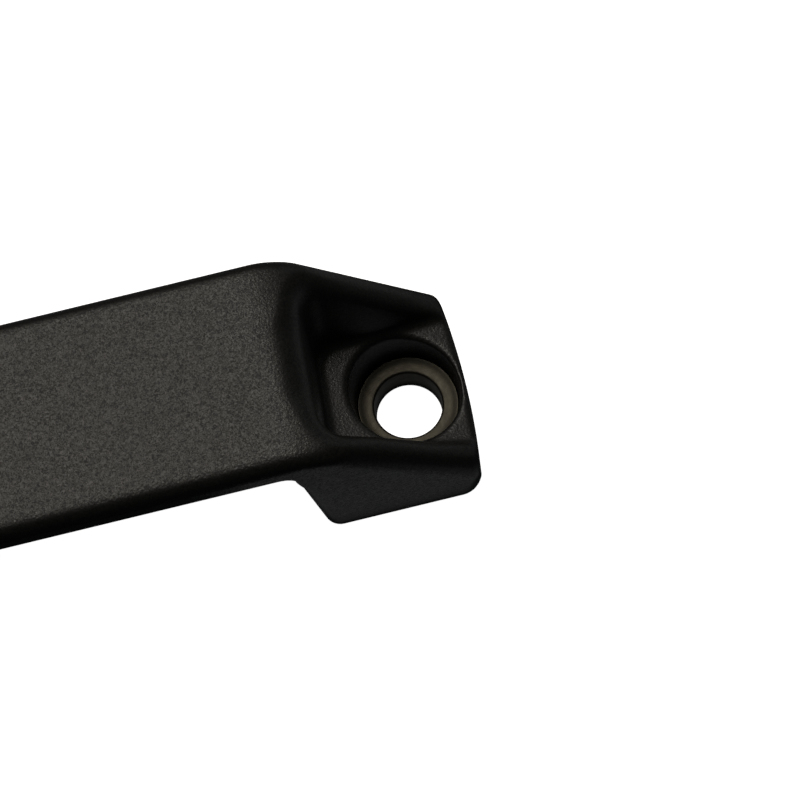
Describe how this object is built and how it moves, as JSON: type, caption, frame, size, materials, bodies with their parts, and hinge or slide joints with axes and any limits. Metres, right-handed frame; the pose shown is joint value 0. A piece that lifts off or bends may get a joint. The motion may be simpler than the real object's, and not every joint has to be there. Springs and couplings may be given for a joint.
{
  "type": "door pull handle",
  "caption": "Black moulded bridge handle with sloped feet, each with an open pocket and a counterbored screw seat, for a vehicle door",
  "frame": {"origin": "on the mounting plane, midway between the two screw holes", "axes": "+X along the grip from one foot to the other, +Y across the grip, +Z out of the door"},
  "size_m": [0.1526, 0.0232, 0.0258],
  "materials": {
    "grained_black": "fine moulded grain, matte",
    "satin_black": "smooth satin moulding",
    "bare_steel": "rolled flat bar, zinc plated",
    "dark_collar": "smooth warm dark grey coating, low gloss",
    "pad_rubber": "closed-cell foam rubber",
    "screw_steel": "black zinc"
  },
  "bodies": {
    "root": {"handle_body": "grained_black", "back_cover": "satin_black", "reinforcing_bar": "bare_steel", "collar_left": "dark_collar", "collar_right": "dark_collar", "foot_pad_left": "pad_rubber", "foot_pad_right": "pad_rubber", "cover_screws": "screw_steel"}
  },
  "joints": []
}
